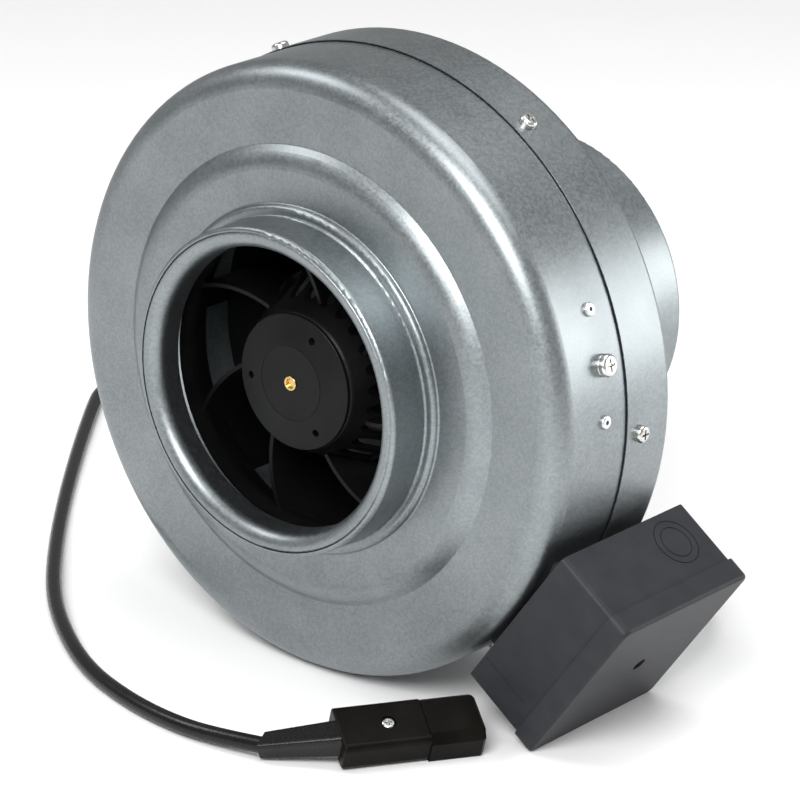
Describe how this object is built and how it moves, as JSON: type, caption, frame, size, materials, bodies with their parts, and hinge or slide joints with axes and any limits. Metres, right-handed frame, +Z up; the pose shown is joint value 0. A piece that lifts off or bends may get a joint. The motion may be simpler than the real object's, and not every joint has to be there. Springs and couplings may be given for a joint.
{
  "type": "inline duct fan",
  "caption": "Inline duct fan with a round galvanised steel casing, a spigot at each end, a backward-curved plastic impeller, a side terminal box and a supply cord with a connector.",
  "frame": {"origin": "on the fan's axis, in the plane at the root of the inlet spigot, where the inlet duct butts", "axes": "+Y along the fan's axis the way the air flows, +Z up as the fan lies on its band and box, +X towards the terminal box"},
  "size_m": [0.5209, 0.3731, 0.3022],
  "materials": {
    "galvanised": "spangled zinc coating, satin",
    "zinc": "zinc plated",
    "lamination": "stacked steel sheet",
    "bearing_steel": "ground and polished",
    "aluminium": "cast",
    "copper": "enamelled copper wire",
    "brass": "turned",
    "motor_black": "black paint, satin",
    "impeller_plastic": "moulded, satin",
    "box_plastic": "moulded, fine grain",
    "gasket_rubber": "soft, matt",
    "cord_pvc": "flexible sheath, glossy",
    "plug_plastic": "moulded, semi-gloss",
    "terminal_plastic": "moulded, natural"
  },
  "bodies": {
    "housing": {"inlet_casing": "galvanised", "inlet_nozzle": "galvanised", "outlet_casing": "galvanised", "casing_screws": "zinc", "motor_bracket": "galvanised", "bracket_screws": "zinc", "bracket_washers": "zinc", "bracket_rivets": "aluminium", "motor_screws": "zinc", "stator_flange": "aluminium", "stator_core": "lamination", "stator_windings": "copper", "bearing_outer_rings": "bearing_steel", "bearing_balls": "bearing_steel", "motor_lead": "cord_pvc", "lead_grommet": "gasket_rubber", "terminal_box_base": "box_plastic", "terminal_box_lid": "box_plastic", "lid_gasket": "gasket_rubber", "lid_screw": "zinc", "box_screws": "zinc", "box_pad": "gasket_rubber", "terminal_block": "terminal_plastic", "terminal_screws": "zinc", "capacitor": "aluminium", "capacitor_clip": "zinc", "gland_body": "box_plastic", "gland_locknut": "box_plastic", "gland_nut": "box_plastic", "gland_seal": "gasket_rubber", "cord_tail": "cord_pvc", "power_cord": "cord_pvc", "plug_boot": "cord_pvc", "plug_base": "plug_plastic", "plug_cover": "plug_plastic", "plug_screw": "zinc", "plug_contacts": "brass"},
    "impeller": {"rotor_can": "motor_black", "rotor_core": "lamination", "rotor_end_rings": "aluminium", "motor_shaft": "bearing_steel", "bearing_inner_rings": "bearing_steel", "shaft_circlip": "bearing_steel", "impeller_hub": "impeller_plastic", "hub_cover": "impeller_plastic", "hub_screws": "zinc", "hub_pin": "brass", "impeller_inlet_ring": "impeller_plastic", "impeller_blade_1": "impeller_plastic", "impeller_blade_2": "impeller_plastic", "impeller_blade_3": "impeller_plastic", "impeller_blade_4": "impeller_plastic", "impeller_blade_5": "impeller_plastic", "impeller_blade_6": "impeller_plastic", "impeller_blade_7": "impeller_plastic"}
  },
  "joints": [
    {"name": "impeller_spin", "type": "hinge", "parent": "housing", "child": "impeller", "pos_m": [0, 0, 0], "axis": [0, 1, 0], "continuous": true}
  ]
}
